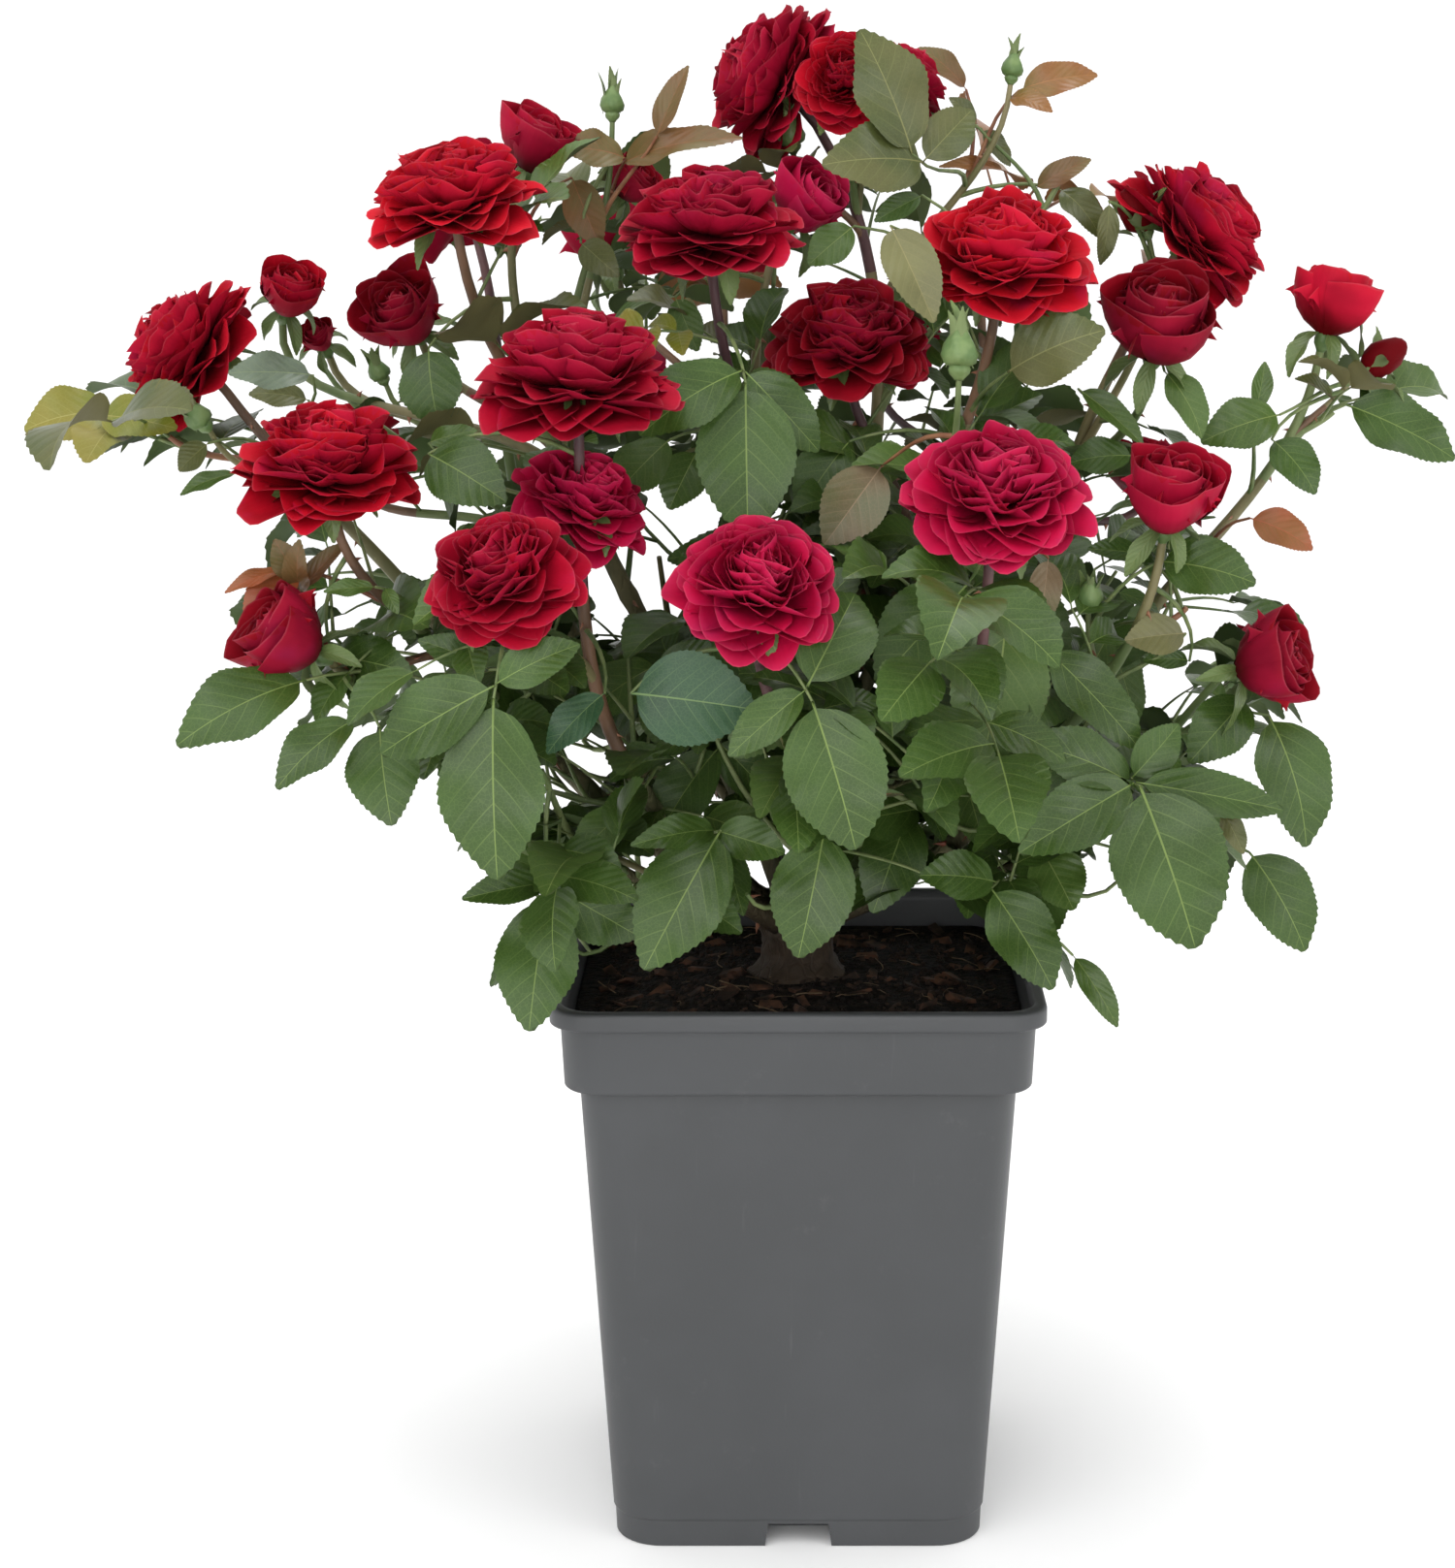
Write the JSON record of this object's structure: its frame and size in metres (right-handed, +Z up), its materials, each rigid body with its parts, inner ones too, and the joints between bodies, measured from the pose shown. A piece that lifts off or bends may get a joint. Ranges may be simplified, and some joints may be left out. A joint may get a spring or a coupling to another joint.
{
  "type": "rose bush in pot",
  "caption": "Bushy rose with dense crimson double blooms and dark green leaves, growing in a square tapered grey plastic nursery pot filled with compost.",
  "frame": {"origin": "middle of the pot's underside, on the floor plane", "axes": "+Z up along the pot's axis, -Y towards the front that the blooms and large leaves face, +X to the right of someone who faces that front"},
  "size_m": [0.5837, 0.4737, 0.6361],
  "materials": {
    "pot_plastic": "matt, lightly scuffed",
    "compost": "loose, damp",
    "bark": "satin",
    "foliage": "satin leaves and velvety petals"
  },
  "bodies": {
    "root": {"pot": "pot_plastic", "compost": "compost", "stem_base": "bark", "cane_left": "bark", "cane_front_left": "bark", "cane_front": "bark", "cane_front_right": "bark", "cane_right": "bark", "cane_back_right": "bark", "cane_back": "bark", "cane_back_left": "bark", "cane_mid_left": "bark", "cane_mid": "bark", "cane_mid_right": "bark", "shoot_left_front": "bark", "shoot_low_left": "bark", "shoot_centre_top": "bark", "shoot_back_centre": "bark", "shoot_front_right": "bark", "shoot_right_top": "bark", "shoot_low_right": "bark", "shoot_back_low": "bark", "mass_left_tip": "foliage", "mass_left_top": "foliage", "mass_left_front": "foliage", "mass_front_left": "foliage", "mass_low_left": "foliage", "mass_centre_top": "foliage", "mass_crown_top": "foliage", "mass_centre_high": "foliage", "mass_front_centre": "foliage", "mass_front_right": "foliage", "mass_right_top": "foliage", "mass_right_tip": "foliage", "mass_right_front": "foliage", "mass_low_right": "foliage", "mass_back_left": "foliage", "mass_back_centre": "foliage", "mass_back_right": "foliage", "mass_back_low_left": "foliage", "mass_back_low_right": "foliage"}
  },
  "joints": []
}
